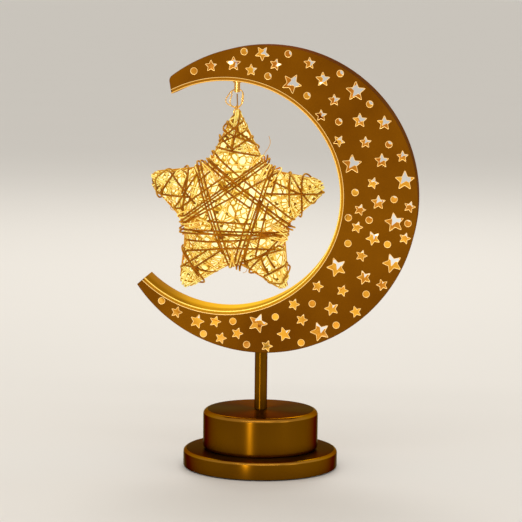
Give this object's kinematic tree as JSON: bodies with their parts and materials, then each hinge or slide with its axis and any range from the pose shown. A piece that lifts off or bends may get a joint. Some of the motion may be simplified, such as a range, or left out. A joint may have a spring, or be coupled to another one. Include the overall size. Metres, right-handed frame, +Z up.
{
  "type": "moon and star night light",
  "caption": "Table night light: a pierced metal crescent moon on a stem and round battery base, with a wound fibre star hanging in the crescent on a ring and wire tie.",
  "frame": {"origin": "middle of the outer limits in plan, at the height of the table", "axes": "+Z up along the stem, +X towards the crescent's full side, the pierced front face towards -Y"},
  "size_m": [0.197, 0.11, 0.3004],
  "materials": {
    "antique_gold": "satin antique gold lacquer on sheet steel",
    "brass": "bright brass plating",
    "steel": "zinc plated",
    "black_plastic": "fine moulded texture",
    "rubber": "matt",
    "cell_jacket": "printed film over a steel can",
    "circuit_board": "green solder mask",
    "lead_sheath": "clear brown sheath over copper",
    "warm_light": "clear beads over warm white lights",
    "fibre_web": "fine dry fibre, lit from inside",
    "rattan": "split fibre strand"
  },
  "bodies": {
    "lamp": {"base_disc": "antique_gold", "base_drum": "antique_gold", "bottom_plate": "black_plastic", "battery_holder": "black_plastic", "cell_1": "cell_jacket", "cell_2": "cell_jacket", "cell_3": "cell_jacket", "contact_positive": "steel", "contact_link_back": "steel", "contact_link_front": "steel", "contact_negative": "steel", "switch_body": "black_plastic", "timer_board": "circuit_board", "foot_1": "rubber", "foot_2": "rubber", "foot_3": "rubber", "foot_4": "rubber", "cover_screw_1": "steel", "cover_screw_2": "steel", "cover_screw_3": "steel", "cover_screw_4": "steel", "drum_screw_1": "steel", "drum_screw_2": "steel", "drum_screw_3": "steel", "drum_screw_4": "steel", "threaded_pipe": "steel", "stem_tube": "antique_gold", "stem_collar": "brass", "lower_washer": "steel", "lower_nut": "steel", "upper_washer": "steel", "upper_nut": "steel", "supply_lead": "lead_sheath", "battery_lead_positive": "rubber", "battery_lead_negative": "rubber", "moon_front_plate": "antique_gold", "moon_back_plate": "antique_gold", "outer_strip": "antique_gold", "inner_rim": "brass", "hanger_tube": "brass", "hanger_nut": "steel", "star_lead": "lead_sheath", "star_splice": "black_plastic", "supply_splice": "black_plastic", "moon_light_string": "warm_light"},
    "tie": {"tie_loop": "brass"},
    "ring": {"star_ring": "brass"},
    "star": {"star_frame": "brass", "star_web": "fibre_web", "star_winding": "rattan", "star_light_string": "warm_light", "star_lead_tail": "lead_sheath"},
    "door": {"battery_door": "black_plastic"},
    "knob": {"switch_knob": "black_plastic"}
  },
  "joints": [
    {"name": "star_swing", "type": "hinge", "parent": "lamp", "child": "tie", "pos_m": [-0.03046, -0.0007, 0.26865], "axis": [1, 0, 0], "range_deg": [-20, 20]},
    {"name": "star_twist", "type": "hinge", "parent": "tie", "child": "ring", "pos_m": [-0.03046, -0.0007, 0.25575], "axis": [0, 0, 1], "range_deg": [-45, 45]},
    {"name": "star_sway", "type": "hinge", "parent": "ring", "child": "star", "pos_m": [-0.03046, -0.0007, 0.25575], "axis": [0, 1, 0], "range_deg": [-1, 4]},
    {"name": "battery_door", "type": "hinge", "parent": "lamp", "child": "door", "pos_m": [-0.01146, -0.0283, 0.0028], "axis": [-1, 0, 0], "range_deg": [0, 100]},
    {"name": "switch_slide", "type": "slide", "parent": "lamp", "child": "knob", "axis": [1, 0, 0], "range_m": [-0.002, 0.002]}
  ]
}
